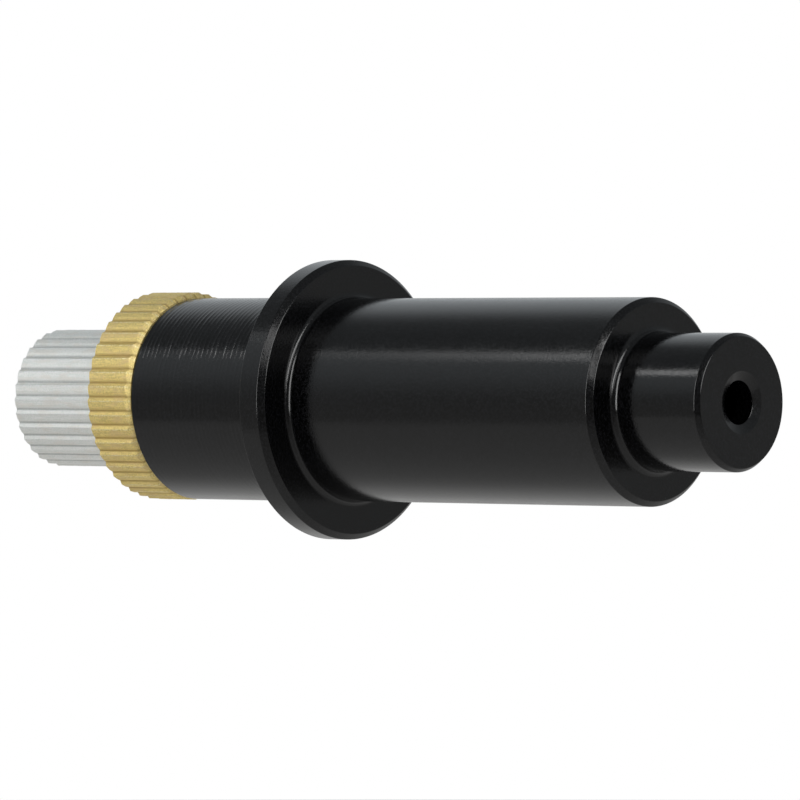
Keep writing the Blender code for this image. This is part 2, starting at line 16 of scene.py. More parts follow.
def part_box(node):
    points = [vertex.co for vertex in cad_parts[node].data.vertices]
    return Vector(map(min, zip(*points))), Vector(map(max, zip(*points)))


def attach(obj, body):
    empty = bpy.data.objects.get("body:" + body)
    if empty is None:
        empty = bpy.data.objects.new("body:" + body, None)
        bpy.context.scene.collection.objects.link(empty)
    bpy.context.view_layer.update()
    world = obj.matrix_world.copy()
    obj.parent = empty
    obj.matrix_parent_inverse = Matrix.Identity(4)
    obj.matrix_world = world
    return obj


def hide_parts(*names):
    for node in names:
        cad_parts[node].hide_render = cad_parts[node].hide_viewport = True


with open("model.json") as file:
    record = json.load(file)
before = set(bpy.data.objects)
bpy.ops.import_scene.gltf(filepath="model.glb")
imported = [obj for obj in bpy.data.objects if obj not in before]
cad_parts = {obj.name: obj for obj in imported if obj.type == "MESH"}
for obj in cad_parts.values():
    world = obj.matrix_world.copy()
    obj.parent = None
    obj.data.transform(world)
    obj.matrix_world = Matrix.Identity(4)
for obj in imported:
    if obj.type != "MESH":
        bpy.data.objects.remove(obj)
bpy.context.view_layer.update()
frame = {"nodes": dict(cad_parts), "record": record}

MM = 0.001

# Body, from its front to its back
BODY_LOW, BODY_HIGH = [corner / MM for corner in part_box("main_body")]
NOSE_END = BODY_HIGH.x
NOSE_RADIUS = 10.46
NOSE_CHAMFER_DEPTH = 0.55
NOSE_CHAMFER_LENGTH = 0.77
APERTURE_RADIUS = 3.3
COUNTERSINK_RADIUS = 4.75
COUNTERSINK_DEPTH = 0.6
BARREL_END = 60.84
BARREL_RADIUS = 15.85
BARREL_CHAMFER = 0.83
NOSE_FILLET = 1.3
BARREL_FILLET = 1.1
FLANGE_RADIUS = BODY_HIGH.y
FLANGE_CHAMFER = 0.9
FLANGE_BACK = -4.5
REAR_RADIUS = 15.98
SHOULDER = -32.95
SPIGOT_RADIUS = 13.1
SPIGOT_END = BODY_LOW.x
BORE_RADIUS = 11.2
BORE_END = 57.5
NOSE_BORE_RADIUS = 6.5
NOSE_BORE_END = 73.5
CHAMFER_ROUNDING = 0.27
EDGE_ROUNDING = 0.15

# Turning marks: the feed between them behind the flange, the shares of its depth that are left where it is
# faintest and on the underside, and the depths of all marks
FEED = 0.9
FEED_DEPTH = 0.025
FEED_FAINTEST = 0.4
FEED_WORN = 0.4
FEED_WORN_BELOW = -0.7 * REAR_RADIUS
MARKS_DEPTH = 0.006
HAIR_DEPTH = 0.0025
GRAIN_DEPTH = 0.012

# Lays of marks: how many there are in a millimetre along X, Y and Z
WANDER_LAY = (0.5, 0.05, 0.05)
UNEVEN_LAY = (0.9, 0.12, 0.12)
MARKS_LAY = (1.6, 0.05, 0.05)
HAIR_LAY = (9.0, 0.1, 0.1)
DRAWN_LAY = (0.5, 6.0, 6.0)
STAIN_LAY = (0.3, 0.8, 0.8)
TURNED_LAY = (5.0, 0.2, 0.2)
FACED_LAY = (0.4, 4.0, 4.0)
WORN_LAY = (4.0, 4.0, 4.0)

# Even textures: how many specks there are in a millimetre
BLACK_GRAIN = 3.0
BLACK_BLOTCHES = 0.25
KNURL_GRAIN = 4.0
MOULDED_PATCHES = 0.3
BOARD_TRACKS = 0.5
BOARD_WEAVE = 5.0
LENS_COATING = 0.5

# Ranges of a noise: the one that most of its values lie in, and those over which a look changes
NOISE_RANGE = (0.3, 0.7)
FEED_UNEVEN = (0.35, 0.65)
BLACK_SPECKS = (0.4, 0.65)
BLACK_DULL_SPECKS = (0.4, 0.6)
KNURL_SHADES = (0.38, 0.6)
KNURL_SPARKLE = (0.45, 0.6)
KNURL_STAINS = (0.45, 0.65)
MOULDED_SHADES = (0.35, 0.65)

# Black anodising: its index of refraction, which the circuit board shares, its reflectance, its roughness,
# how much rougher its grain is, and how much less rough the nose and the body behind the flange are
GLOSS_IOR = 1.5
BLACK_SPECULAR = 0.485
BLACK_ROUGHNESS = (0.13, 0.16)
BLACK_GRAIN_ROUGHNESS = 0.06
BLACK_WORN_GLOSS = 0.04

# Knurled metals: their roughness, and how much less rough their crests are. Where the lighter crests (wear
# and a painted glint) and the darker grooves (dirt and painted shade) begin and are full, as shares of a
# groove's depth, and how much the grain adds to it for the grooves. How much of the colour stains and the
# dirt and painted shade take at most. The share of drawn marks in the relief, and its depth.
KNURL_ROUGHNESS = (0.5, 0.68)
KNURL_CREST_GLOSS = 0.3
KNURL_CREST_EDGE = (0.12, 0.02)
KNURL_DIRT_AND_SHADE_EDGE = (0.8, 1.3)
KNURL_DIRT_AND_SHADE_GRAIN = 0.4
KNURL_STAIN = 0.5
KNURL_DIRT_AND_SHADE = 0.75
KNURL_DRAWN = 0.3
KNURL_GRAIN_DEPTH = 0.13

# Other surfaces: how far a roughness wanders from its middle, the depths of marks, and the edge of the
# board's tracks, as a distance in their pattern
METAL_WANDER = 0.2
METAL_MARKS_DEPTH = 0.02
MOULDED_WANDER = 0.15
BOARD_ROUGHNESS = (0.25, 0.4)
BOARD_TRACK_EDGE = (0.55, 0.6)
BOARD_TRACKS_DEPTH = 0.03
LENS_IOR = 1.52
LENS_ROUGHNESS = (0.01, 0.03)

# Threads: the lock ring runs on the spigot's, and the cap on the one on the cartridge's tail
SPIGOT_PITCH = 1.0
SPIGOT_THREAD_DEPTH = 0.25
TAIL_PITCH = 1.5
TAIL_THREAD_DEPTH = 0.3
THREAD_STEPS = 8

# Cartridge tube
TUBE_LOW, TUBE_HIGH = [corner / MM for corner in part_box("cartridge_tube")]
TUBE_RADIUS = 10.2
TUBE_STEP = -38.9
TUBE_BORE_RADIUS = 8.4
PIVOT = 47.2
PIVOT_GROOVE_HALF_WIDTH = 1.05
PIVOT_GROOVE_RADIUS = 9.1
TAIL_RADIUS = 8.4
TAIL_THREAD_FRONT = -43.0
SEAL = -41.8
SEAL_GROOVE_HALF_WIDTH = 0.8
SEAL_GROOVE_RADIUS = 7.6
BATTERY_BORE_RADIUS = 7.0
BATTERY_STEP = -30.0

# Straight knurls, which share one ratchet-like tooth: a crest, a land that falls away behind it, and a
# groove. Where the land bends and where the groove lies are shares of the pitch.
KNURL_DEPTH = 0.4
KNURL_BEND = 0.4
KNURL_BEND_DEPTH = 0.15
KNURL_GROOVE = 0.73
KNURL_FRONT_CHAMFER = 0.8
KNURL_BACK_CHAMFER = 0.12
KNURL_ROUNDING = 0.09
KNURL_BEND_ROUNDING = 3 * KNURL_ROUNDING
KNURL_PITTING = 0.025
KNURL_PIT_SIZE = 0.3
KNURL_PIT_SEED = 1
RING_TEETH = 45
RING_FIRST_CREST = math.radians(6.5)
CAP_TEETH = 30
CAP_FIRST_CREST = math.radians(1.0)

# Lock ring
RING_LOW, RING_HIGH = [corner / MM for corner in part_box("lock_ring")]
RING_RADIUS = 16.55
RING_LIFT = (RING_LOW.z + RING_HIGH.z) / 2
RING_BORE_RADIUS = 14.0
RING_HOLE_RADIUS = 12.0
RING_LIP_FRONT = -40.1

# Tail cap
CAP_LOW, CAP_HIGH = [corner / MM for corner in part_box("tail_cap")]
CAP_RADIUS = 11.05
CAP_SEAL_BORE_RADIUS = 9.3
CAP_SEAL_BORE_END = -44.0
CAP_BORE_RADIUS = 8.7
CAP_FLOOR = -59.9
CAP_FLAT_RADIUS = CAP_BORE_RADIUS / 2

# Fineness of the meshes
BODY_SEGMENTS = 256
FLOOR_SEGMENTS = 96
CORNER_STEPS = 6
SMOOTH_ANGLE = math.radians(35)

# Camera, which looks at the target from this far
CAMERA_AZIMUTH = math.radians(41.147)
CAMERA_ELEVATION = math.radians(0.474)
CAMERA_DISTANCE = 1160.833
CAMERA_LENS = 336.06
CAMERA_TARGET = Vector((9.386, 0.0, 0.023))
CAMERA_CLIP_END = 20.0

# Studio: the floor glows a little, and grows brighter from one radius to another
FLOOR_HEIGHT = -260.0
FLOOR_RADIUS = 3200.0
FLOOR_FADE = (0.3 * FLOOR_RADIUS, 0.9 * FLOOR_RADIUS)
FLOOR_ROUGHNESS = 0.9
FLOOR_GREY = 0.7
FLOOR_EDGE_GREY = 0.95
FLOOR_GLOW = 0.3
FLOOR_EDGE_GLOW = 0.55
LIGHT_DISTANCE = 1000.0
BODY_MIDDLE = Vector((0, 0, 0))
BARREL_FRONT = Vector((0.75 * BARREL_END, 0, 0))


# Shapes


def on_circle(x, radius, angle, lift=0.0):
    return Vector((x, radius * math.cos(angle), radius * math.sin(angle) + lift))


def rounded(corners):
    """A closed outline from (x, y, rounding) corners, each cut back and bridged by a curve."""
    outline = []
    for index, (x, y, rounding) in enumerate(corners):
        corner = Vector((x, y))
        before = Vector(corners[index - 1][:2]) - corner
        after = Vector(corners[(index + 1) % len(corners)][:2]) - corner
        if not rounding:
            outline.append(corner)
            continue
        turn = math.pi - before.angle(after)
        cut = min(rounding * math.tan(turn / 2), before.length / 2, after.length / 2)
        start = corner + before.normalized() * cut
        end = corner + after.normalized() * cut
        for step in range(CORNER_STEPS + 1):
            t = step / CORNER_STEPS
            outline.append(start * (1 - t) ** 2 + corner * 2 * t * (1 - t) + end * t**2)
    return outline


def skin(rails, through):
    """A mesh over rails, which run along the piece side by side all round it."""
    bm = bmesh.new()
    grid = [[bm.verts.new(point * MM) for point in rail] for rail in rails]
    length = len(grid[0])
    for here, there in zip(grid, grid[1:] + grid[:1]):
        for step in range(length if through else length - 1):
            after = (step + 1) % length
            bm.faces.new((here[step], there[step], there[after], here[after]))
    if not through:
        bm.faces.new([rail[0] for rail in grid])
        bm.faces.new([rail[-1] for rail in grid])
    bmesh.ops.recalc_face_normals(bm, faces=bm.faces)
    return bm


class Thread(NamedTuple):
    """A thread cut into a cylinder about the X axis, between its back and its front."""

    back: float
    front: float
    radius: float
    pitch: float
    depth: float

    def corners(self):
        """Outline points from front to back, close enough together to carry the thread."""
        count = round((self.front - self.back) / self.pitch * THREAD_STEPS)
        step = (self.front - self.back) / count
        return [(self.front - step * index, self.radius, 0) for index in range(1, count)]

    def cut(self, x, radius, angle):
        """How deep the thread goes at a point of the outline. It fades out over one turn at each end."""
        if radius != self.radius or not self.back < x < self.front:
            return 0.0
        turn = (x / self.pitch + angle / (2 * math.pi)) % 1
        ends = min(x - self.back, self.front - x) / self.pitch
        return self.depth * abs(2 * turn - 1) * min(ends, 1)


def turned(outline, thread):
    """A tube turned about the X axis, with a thread cut into it."""
    rails = []
    for step in range(BODY_SEGMENTS):
        angle = 2 * math.pi * step / BODY_SEGMENTS
        rails.append([on_circle(x, radius - thread.cut(x, radius, angle), angle) for x, radius in outline])
    return skin(rails, through=True)


def knurl_section(teeth, crest, first_crest):
    """Angle and radius of each point round a straight knurl with rounded edges."""
    pitch = 2 * math.pi / teeth
    corners = []
    for tooth in range(teeth):
        for share, depth, rounding in (
            (0.0, 0.0, KNURL_ROUNDING),
            (KNURL_BEND, KNURL_BEND_DEPTH, KNURL_BEND_ROUNDING),
            (KNURL_GROOVE, KNURL_DEPTH, KNURL_ROUNDING),
        ):
            point = on_circle(0, crest - depth, first_crest + (tooth + share) * pitch)
            corners.append((point.y, point.z, rounding))
    return [(math.atan2(point.y, point.x), point.length) for point in rounded(corners)]


def knurl_outline(front, back, radius, crest):
    """Outline points of a knurl's outside at one radius, close enough together to carry pits.

    The front chamfer is turned, so it cuts deeper into crests, and the back one follows the teeth.
    """
    face_radius = crest - KNURL_FRONT_CHAMFER - KNURL_PITTING
    chamfer_end = front - (radius - face_radius)
    count = round((front - back) / KNURL_PIT_SIZE)
    length = chamfer_end - back - KNURL_BACK_CHAMFER
    along = [chamfer_end - length * step / count for step in range(count + 1)]
    face_edge = (front, face_radius, 0)
    return [face_edge, *[(x, radius, 0) for x in along], (back, radius - KNURL_BACK_CHAMFER, 0)]


def pitted(point, amount):
    """A point of a knurl's surface, moved a little across the axis, as a rough cut has left it."""
    shift = noise.noise_vector(point / KNURL_PIT_SIZE) * amount
    return point + Vector((0, shift.y, shift.z))


def knurled(section, outline_at, crest, through, lift=0.0):
    """A mesh with a knurled outside. Outline_at(radius) is its outline where the knurl has that radius.

    Its attribute "groove" is 0 on the lands and everywhere inside, and 1 at the bottom of a groove.
    """
    rails = []
    grooves = []
    inner = crest - KNURL_FRONT_CHAMFER - KNURL_PITTING
    for angle, radius in section:
        outline = outline_at(radius - KNURL_PITTING)
        rail = []
        for x, r in outline:
            point = on_circle(x, r, angle, lift)
            rail.append(pitted(point, KNURL_PITTING) if r >= inner else point)
        rails.append(rail)
        depth = (crest - radius) / KNURL_DEPTH
        grooves.append([depth if r >= inner else 0.0 for _, r in outline])
    bm = skin(rails, through)
    layer = bm.verts.layers.float.new("groove")
    bm.verts.ensure_lookup_table()
    for index, depth in enumerate(depth for rail in grooves for depth in rail):
        bm.verts[index][layer] = depth
    return bm


def piece(bm, name, slot, body, stands_for):
    """Makes a mesh a smooth piece of the model that rides on a body and stands for a CAD node."""
    mesh = bpy.data.meshes.new(name)
    bm.to_mesh(mesh)
    bm.free()
    mesh.materials.append(LOOKS[slot])
    mesh.shade_smooth()
    mesh.set_sharp_from_angle(angle=SMOOTH_ANGLE)
    made = bpy.data.objects.new(name, mesh)
    bpy.context.scene.collection.objects.link(made)
    flats = made.modifiers.new("keep_flats_flat", "WEIGHTED_NORMAL")
    flats.keep_sharp = True
    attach(made, body)
    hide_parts(stands_for)


# Materials


class Graph:
    """Adds nodes to a node tree. An input is a number, a colour, a vector or another node's output."""

    def __init__(self, tree):
        self.tree = tree

    def node(self, kind, inputs=(), **settings):
        made = self.tree.nodes.new(kind)
        for setting, value in settings.items():
            setattr(made, setting, value)
        for socket, value in dict(inputs).items():
            self.feed(made.inputs[socket], value)
        return made

    def feed(self, socket, value):
        if isinstance(value, bpy.types.NodeSocket):
            self.tree.links.new(value, socket)
        else:
            socket.default_value = value

    def math(self, operation, first, second=0.0):
        return self.node("ShaderNodeMath", {0: first, 1: second}, operation=operation).outputs[0]

    def total(self, *terms):
        result = terms[0]
        for term in terms[1:]:
            result = self.math("ADD", result, term)
        return result

    def product(self, *factors):
        result = factors[0]
        for factor in factors[1:]:
            result = self.math("MULTIPLY", result, factor)
        return result

    def ramp(self, value, start, end, low=0.0, high=1.0):
        """Low before start and high after end, with a smooth step between."""
        inputs = {"Value": value, "From Min": start, "From Max": end, "To Min": low, "To Max": high}
        return self.node("ShaderNodeMapRange", inputs, interpolation_type="SMOOTHSTEP").outputs[0]

    def mix(self, share, first, second):
        """A colour between two colours."""
        made = self.node("ShaderNodeMix", {0: share, 6: first, 7: second}, data_type="RGBA")
        return made.outputs[2]

    def stretched(self, vector, scale):
        """A vector scaled differently along X, Y and Z."""
        return self.node("ShaderNodeMapping", {"Vector": vector, "Scale": scale}).outputs[0]

    def noise(self, vector, scale, detail=2.0, roughness=0.5):
        inputs = {"Vector": vector, "Scale": scale, "Detail": detail, "Roughness": roughness}
        return self.node("ShaderNodeTexNoise", inputs).outputs[0]

    def marks(self, vector, lay, detail=2.0, roughness=0.5):
        """A noise with a lay, which is how many marks it has in a millimetre along X, Y and Z."""
        return self.noise(self.stretched(vector, lay), 1.0, detail, roughness)

    def spread(self, value, low=0.0, high=1.0):
        """The values of a noise spread from low to high."""
        return self.ramp(value, *NOISE_RANGE, low, high)

    def bump(self, height, distance):
        """A normal for a height that is distance millimetres where it is 1."""
        return self.node("ShaderNodeBump", {"Height": height, "Distance": distance * MM}).outputs[0]


def rgb(red, green, blue):
    return (red, green, blue, 1.0)


def grey(value):
    return rgb(value, value, value)


def new_material(**sockets):
    """A material, its graph, its Principled shader and the piece's coordinates in millimetres."""
    made = bpy.data.materials.new("look")
    made.use_nodes = True
    graph = Graph(made.node_tree)
    shader = made.node_tree.nodes["Principled BSDF"]
    for socket, value in sockets.items():
        shader.inputs[socket.replace("_", " ")].default_value = value
    place = graph.node("ShaderNodeTexCoord").outputs["Object"]
    place = graph.stretched(place, (1 / MM, 1 / MM, 1 / MM))
    return made, graph, shader, place


def black_anodised():
    """Gloss black with a fine grain over turning marks, which run round the axis.

    Behind the flange they are deep and evenly fed, but worn on the underside. In front of it they are fine.
    """
    made, graph, shader, place = new_material(IOR=GLOSS_IOR, Specular_IOR_Level=BLACK_SPECULAR)
    stations = graph.node("ShaderNodeSeparateXYZ", {"Vector": place}).outputs
    along = stations["X"]
    behind = graph.ramp(along, FLANGE_BACK, FLANGE_BACK - EDGE_ROUNDING)
    nose = graph.ramp(along, BARREL_END, BARREL_END + NOSE_FILLET)
    grain = graph.noise(place, BLACK_GRAIN)
    blotches = graph.noise(place, BLACK_BLOTCHES, detail=3.0)

    turns = graph.total(graph.math("DIVIDE", along, FEED), graph.marks(place, WANDER_LAY))
    across = graph.math("SUBTRACT", graph.math("FRACT", turns), 0.5)
    scallop = graph.product(4.0, across, across)
    uneven = graph.marks(place, UNEVEN_LAY, detail=3.0, roughness=0.7)
    depth = graph.ramp(uneven, *FEED_UNEVEN, low=FEED_FAINTEST * FEED_DEPTH, high=FEED_DEPTH)
    kept = graph.ramp(stations["Z"], FEED_WORN_BELOW, 0.0, low=FEED_WORN)
    height = graph.total(
        graph.product(scallop, kept, depth, behind),
        graph.product(graph.marks(place, MARKS_LAY, detail=3.0, roughness=0.6), MARKS_DEPTH),
        graph.product(graph.marks(place, HAIR_LAY), HAIR_DEPTH),
        graph.product(grain, GRAIN_DEPTH),
    )
    graph.feed(shader.inputs["Normal"], graph.bump(height, 1.0))

    tint = graph.mix(blotches, rgb(0.0025, 0.0025, 0.0030), rgb(0.0033, 0.0033, 0.0039))
    specks = graph.ramp(grain, *BLACK_SPECKS)
    graph.feed(shader.inputs["Base Color"], graph.mix(specks, grey(0.0), tint))
    rough = graph.total(
        graph.spread(blotches, *BLACK_ROUGHNESS),
        graph.ramp(grain, *BLACK_DULL_SPECKS, high=BLACK_GRAIN_ROUGHNESS),
        graph.product(graph.total(behind, nose), -BLACK_WORN_GLOSS),
    )
    graph.feed(shader.inputs["Roughness"], rough)
    return made


def knurled_metal(dark, light, stain, worn_and_glint, grime_and_shade):
    """Bare metal with a sparkling grain and faint stains; lighter crests are wear and a painted glint, darker
    grooves dirt and painted shade.
    """
    made, graph, shader, place = new_material(Metallic=1.0)
    groove = graph.node("ShaderNodeAttribute", attribute_name="groove").outputs["Fac"]
    grain = graph.noise(place, KNURL_GRAIN, detail=4.0, roughness=0.7)
    drawn = graph.marks(place, DRAWN_LAY, detail=3.0)
    shade = graph.total(graph.product(grain, 1 - KNURL_DRAWN), graph.product(drawn, KNURL_DRAWN))
    stains = graph.ramp(graph.marks(place, STAIN_LAY), *KNURL_STAINS, high=KNURL_STAIN)
    # Crests are painted lighter in specks of the grain: partly worn metal, partly a painted glint.
    crest = graph.product(graph.ramp(groove, *KNURL_CREST_EDGE), graph.ramp(grain, *KNURL_SPARKLE))
    # Grooves are painted darker towards their bottoms: partly dirt, partly painted shade.
    depth = graph.total(groove, graph.product(grain, KNURL_DIRT_AND_SHADE_GRAIN))
    dirt_and_shade = graph.ramp(depth, *KNURL_DIRT_AND_SHADE_EDGE, high=KNURL_DIRT_AND_SHADE)
    clean = graph.mix(graph.ramp(shade, *KNURL_SHADES), dark, light)
    aged_and_glinting = graph.mix(crest, graph.mix(stains, clean, stain), worn_and_glint)
    graph.feed(shader.inputs["Base Color"], graph.mix(dirt_and_shade, aged_and_glinting, grime_and_shade))
    rough = graph.total(graph.spread(grain, *KNURL_ROUGHNESS), graph.product(crest, -KNURL_CREST_GLOSS))
    graph.feed(shader.inputs["Roughness"], rough)
    graph.feed(shader.inputs["Normal"], graph.bump(shade, KNURL_GRAIN_DEPTH))
    return made


def marked_metal(dark, light, roughness, lay):
    """Bare metal with fine marks."""
    made, graph, shader, place = new_material(Metallic=1.0)
    marks = graph.marks(place, lay, detail=3.0, roughness=0.6)
    graph.feed(shader.inputs["Base Color"], graph.mix(graph.spread(marks), dark, light))
    rough = graph.spread(marks, (1 - METAL_WANDER) * roughness, (1 + METAL_WANDER) * roughness)
    graph.feed(shader.inputs["Roughness"], rough)
    graph.feed(shader.inputs["Normal"], graph.bump(marks, METAL_MARKS_DEPTH))
    return made


def moulded(dark, light, roughness, grain, depth):
    """A matt or satin non-metal. Grain is how many specks there are in a millimetre, and depth is theirs."""
    made, graph, shader, place = new_material()
    specks = graph.noise(place, grain, detail=3.0, roughness=0.6)
    patches = graph.noise(place, MOULDED_PATCHES)
    shade = graph.product(0.5, graph.total(specks, patches))
    graph.feed(shader.inputs["Base Color"], graph.mix(graph.ramp(shade, *MOULDED_SHADES), dark, light))
    rough = graph.spread(specks, (1 - MOULDED_WANDER) * roughness, (1 + MOULDED_WANDER) * roughness)
    graph.feed(shader.inputs["Roughness"], rough)
    graph.feed(shader.inputs["Normal"], graph.bump(specks, depth))
    return made


def circuit_board():
    """Green solder mask, with copper tracks that show faintly under it."""
    made, graph, shader, place = new_material(IOR=GLOSS_IOR)
    inputs = {"Vector": place, "Scale": BOARD_TRACKS}
    steps = graph.node("ShaderNodeTexVoronoi", inputs, distance="CHEBYCHEV").outputs["Distance"]
    tracks = graph.ramp(steps, *BOARD_TRACK_EDGE)
    weave = graph.noise(place, BOARD_WEAVE)
    mask = graph.mix(weave, rgb(0.004, 0.07, 0.02), rgb(0.008, 0.11, 0.035))
    graph.feed(shader.inputs["Base Color"], graph.mix(tracks, mask, rgb(0.03, 0.2, 0.06)))
    graph.feed(shader.inputs["Roughness"], graph.spread(weave, *BOARD_ROUGHNESS))
    graph.feed(shader.inputs["Normal"], graph.bump(tracks, BOARD_TRACKS_DEPTH))
    return made


def lens_glass():
    """Clear glass with a faint blue-green coating."""
    made, graph, shader, place = new_material(Transmission_Weight=1.0, IOR=LENS_IOR)
    coating = graph.spread(graph.noise(place, LENS_COATING))
    graph.feed(shader.inputs["Base Color"], graph.mix(coating, rgb(0.8, 0.93, 0.96), rgb(0.9, 0.96, 1.0)))
    graph.feed(shader.inputs["Roughness"], graph.ramp(coating, 0.0, 1.0, *LENS_ROUGHNESS))
    return made


def materials():
    """One material for each material slot of the record."""
    looks = {
        "black_anodised": black_anodised(),
        # Each knurled metal's last two colours are for lighter crests (wear and a painted glint) and darker
        # grooves (dirt and painted shade).
        "knurled_brass": knurled_metal(
            dark=rgb(0.76, 0.61, 0.25),
            light=rgb(1.0, 0.83, 0.36),
            stain=rgb(0.86, 0.66, 0.36),
            worn_and_glint=rgb(1.0, 0.90, 0.56),
            grime_and_shade=rgb(0.36, 0.22, 0.06),
        ),
        "knurled_aluminium": knurled_metal(
            dark=rgb(0.88, 0.91, 0.87),
            light=rgb(1.0, 1.0, 0.98),
            stain=rgb(0.92, 0.89, 0.83),
            worn_and_glint=grey(1.0),
            grime_and_shade=rgb(0.42, 0.43, 0.43),
        ),
        "cartridge_brass": marked_metal(rgb(0.46, 0.33, 0.13), rgb(0.68, 0.52, 0.24), 0.3, TURNED_LAY),
        "turned_aluminium": marked_metal(grey(0.5), grey(0.7), 0.32, TURNED_LAY),
        "contact_brass": marked_metal(rgb(0.5, 0.35, 0.14), rgb(0.7, 0.53, 0.25), 0.3, FACED_LAY),
        "diode_gold": marked_metal(rgb(0.7, 0.48, 0.17), rgb(0.86, 0.64, 0.27), 0.22, FACED_LAY),
        "cell_steel": marked_metal(grey(0.5), grey(0.68), 0.25, FACED_LAY),
        "spring_steel": marked_metal(grey(0.42), grey(0.6), 0.3, WORN_LAY),
        "screw_steel": marked_metal(grey(0.06), grey(0.16), 0.4, WORN_LAY),
        "circuit_board": circuit_board(),
        "lens_glass": lens_glass(),
        "white_nylon": moulded(rgb(0.68, 0.67, 0.62), rgb(0.78, 0.77, 0.73), 0.5, 3.0, 0.03),
        "rubber": moulded(grey(0.01), grey(0.022), 0.65, 6.0, 0.05),
        "black_plastic": moulded(grey(0.012), grey(0.026), 0.45, 6.0, 0.03),
        "blue_plastic": moulded(rgb(0.02, 0.06, 0.25), rgb(0.04, 0.1, 0.36), 0.4, 5.0, 0.03),
        "red_insulation": moulded(rgb(0.42, 0.014, 0.014), rgb(0.55, 0.025, 0.02), 0.35, 3.0, 0.02),
        "cream_plastic": moulded(rgb(0.54, 0.51, 0.42), rgb(0.64, 0.61, 0.52), 0.5, 4.0, 0.03),
        "sleeve_card": moulded(rgb(0.5, 0.4, 0.26), rgb(0.64, 0.54, 0.38), 0.8, 2.0, 0.08),
    }
    for slot, look in looks.items():
        look.name = f"{slot}_look"
    return looks


LOOKS = materials()


# Pieces


def dress_inner_pieces():
    """Gives each CAD node the material of its slot in the record."""
    for part in frame["record"]["subparts"]:
        for material_slot in frame["nodes"][part["node"]].material_slots:
            material_slot.material = LOOKS[part["material_slot"]]


def main_body():
    thread = Thread(SPIGOT_END, SHOULDER, SPIGOT_RADIUS, SPIGOT_PITCH, SPIGOT_THREAD_DEPTH)
    front = [
        (NOSE_END, COUNTERSINK_RADIUS, EDGE_ROUNDING),
        (NOSE_END, NOSE_RADIUS - NOSE_CHAMFER_DEPTH, CHAMFER_ROUNDING),
        (NOSE_END - NOSE_CHAMFER_LENGTH, NOSE_RADIUS, CHAMFER_ROUNDING),
        (BARREL_END, NOSE_RADIUS, NOSE_FILLET),
        (BARREL_END, BARREL_RADIUS - BARREL_CHAMFER, CHAMFER_ROUNDING),
        (BARREL_END - BARREL_CHAMFER, BARREL_RADIUS, CHAMFER_ROUNDING),
        (0, BARREL_RADIUS, BARREL_FILLET),
        (0, FLANGE_RADIUS - FLANGE_CHAMFER, CHAMFER_ROUNDING),
        (-FLANGE_CHAMFER, FLANGE_RADIUS, CHAMFER_ROUNDING),
        (FLANGE_BACK, FLANGE_RADIUS, EDGE_ROUNDING),
        (FLANGE_BACK, REAR_RADIUS, EDGE_ROUNDING),
        (SHOULDER, REAR_RADIUS, EDGE_ROUNDING),
        (SHOULDER, SPIGOT_RADIUS, EDGE_ROUNDING),
    ]
    back = [
        (SPIGOT_END, SPIGOT_RADIUS, EDGE_ROUNDING),
        (SPIGOT_END, BORE_RADIUS, EDGE_ROUNDING),
        (BORE_END, BORE_RADIUS, EDGE_ROUNDING),
        (BORE_END, NOSE_BORE_RADIUS, EDGE_ROUNDING),
        (NOSE_BORE_END, NOSE_BORE_RADIUS, EDGE_ROUNDING),
        (NOSE_BORE_END, APERTURE_RADIUS, EDGE_ROUNDING),
        (NOSE_END - COUNTERSINK_DEPTH, APERTURE_RADIUS, EDGE_ROUNDING),
    ]
    outline = rounded(front + thread.corners() + back)
    piece(turned(outline, thread), "body_shell", "black_anodised", "body", "main_body")


def lock_ring():
    def outline_at(radius):
        return rounded([
            (RING_HIGH.x, RING_BORE_RADIUS, EDGE_ROUNDING),
            *knurl_outline(RING_HIGH.x, RING_LOW.x, radius, RING_RADIUS),
            (RING_LOW.x, RING_HOLE_RADIUS, EDGE_ROUNDING),
            (RING_LIP_FRONT, RING_HOLE_RADIUS, EDGE_ROUNDING),
            (RING_LIP_FRONT, RING_BORE_RADIUS, EDGE_ROUNDING),
        ])

    section = knurl_section(RING_TEETH, RING_RADIUS, RING_FIRST_CREST)
    mesh = knurled(section, outline_at, RING_RADIUS, through=True, lift=RING_LIFT)
    piece(mesh, "knurled_lock_ring", "knurled_brass", "lock_ring", "lock_ring")


def tail_cap():
    def outline_at(radius):
        return rounded([
            (CAP_FLOOR, CAP_FLAT_RADIUS, 0),
            (CAP_FLOOR, CAP_BORE_RADIUS, EDGE_ROUNDING),
            (CAP_SEAL_BORE_END, CAP_BORE_RADIUS, EDGE_ROUNDING),
            (CAP_SEAL_BORE_END, CAP_SEAL_BORE_RADIUS, EDGE_ROUNDING),
            (CAP_HIGH.x, CAP_SEAL_BORE_RADIUS, EDGE_ROUNDING),
            *knurl_outline(CAP_HIGH.x, CAP_LOW.x, radius, CAP_RADIUS),
            (CAP_LOW.x, CAP_FLAT_RADIUS, 0),
        ])

    section = knurl_section(CAP_TEETH, CAP_RADIUS, CAP_FIRST_CREST)
    mesh = knurled(section, outline_at, CAP_RADIUS, through=False)
    piece(mesh, "knurled_tail_cap", "knurled_aluminium", "tail_cap", "tail_cap")


def o_ring_groove(middle, half_width, floor_radius, outer_radius):
    """Corners of a groove in an outline, from its front to its back."""
    return [
        (middle + half_width, outer_radius, EDGE_ROUNDING),
        (middle + half_width, floor_radius, EDGE_ROUNDING),
        (middle - half_width, floor_radius, EDGE_ROUNDING),
        (middle - half_width, outer_radius, EDGE_ROUNDING),
    ]


